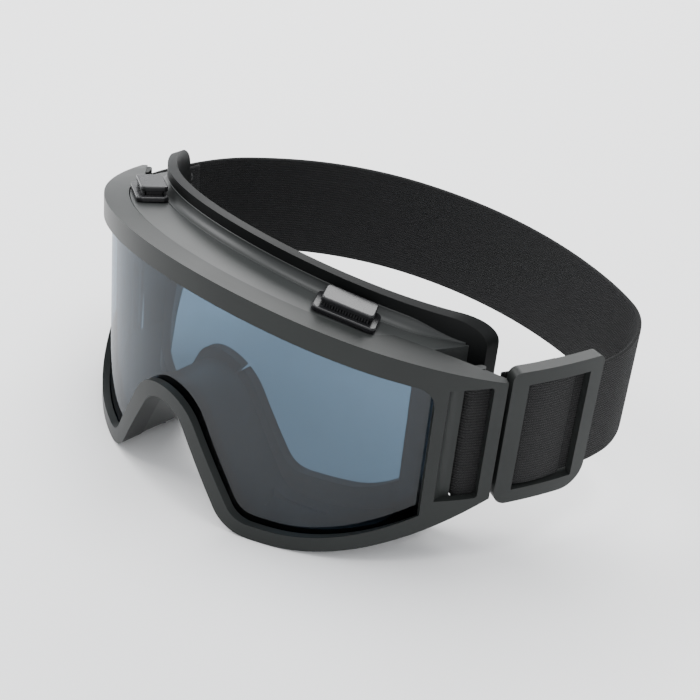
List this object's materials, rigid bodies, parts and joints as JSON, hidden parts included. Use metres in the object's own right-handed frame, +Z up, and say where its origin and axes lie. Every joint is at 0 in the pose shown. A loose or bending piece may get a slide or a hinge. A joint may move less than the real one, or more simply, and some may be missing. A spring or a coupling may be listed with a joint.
{
  "type": "protective goggles",
  "caption": "Wraparound eye-protection goggles with one smoke lens, vented soft body, face seal and an elastic strap on a slider.",
  "frame": {"origin": "bottom centre of the whole object's box, on the surface that the cheeks rest on", "axes": "+X to the wearer's left, which is the right as seen from the front; +Y from the lens to the back of the head; +Z up"},
  "size_m": [0.1934, 0.1438, 0.0968],
  "materials": {
    "frame": "satin moulded",
    "lens": "clear smoke",
    "rubber": "smooth",
    "soft_body": "soft satin",
    "vent": "polished",
    "mesh": "woven",
    "webbing": "knitted elastic",
    "thread": "polyester"
  },
  "bodies": {
    "goggles": {"frame_shell": "frame", "lens": "lens", "lens_gasket": "rubber", "goggle_body": "soft_body", "face_seal": "rubber", "strap": "webbing", "strap_stitches": "thread", "top_vent_base_right": "vent", "top_vent_base_left": "vent", "top_vent_mesh_right": "mesh", "top_vent_mesh_left": "mesh", "low_vent_grille_right": "vent", "low_vent_grille_left": "vent", "low_vent_mesh_right": "mesh", "low_vent_mesh_left": "mesh"},
    "slider": {"slider": "frame", "strap_end": "webbing"},
    "cap_right": {"top_vent_cap_right": "vent"},
    "cap_left": {"top_vent_cap_left": "vent"}
  },
  "joints": [
    {"name": "slider_travel", "type": "hinge", "parent": "goggles", "child": "slider", "pos_m": [-0.06371, 0.05813, 0.0465], "axis": [0, 0, 1], "range_deg": [0, 3.2]},
    {"name": "cap_right_lift", "type": "slide", "parent": "goggles", "child": "cap_right", "axis": [0.168, 0.1462, 0.9749], "range_m": [0, 0.012]},
    {"name": "cap_left_lift", "type": "slide", "parent": "goggles", "child": "cap_left", "axis": [-0.168, 0.1462, 0.9749], "range_m": [0, 0.012]}
  ]
}
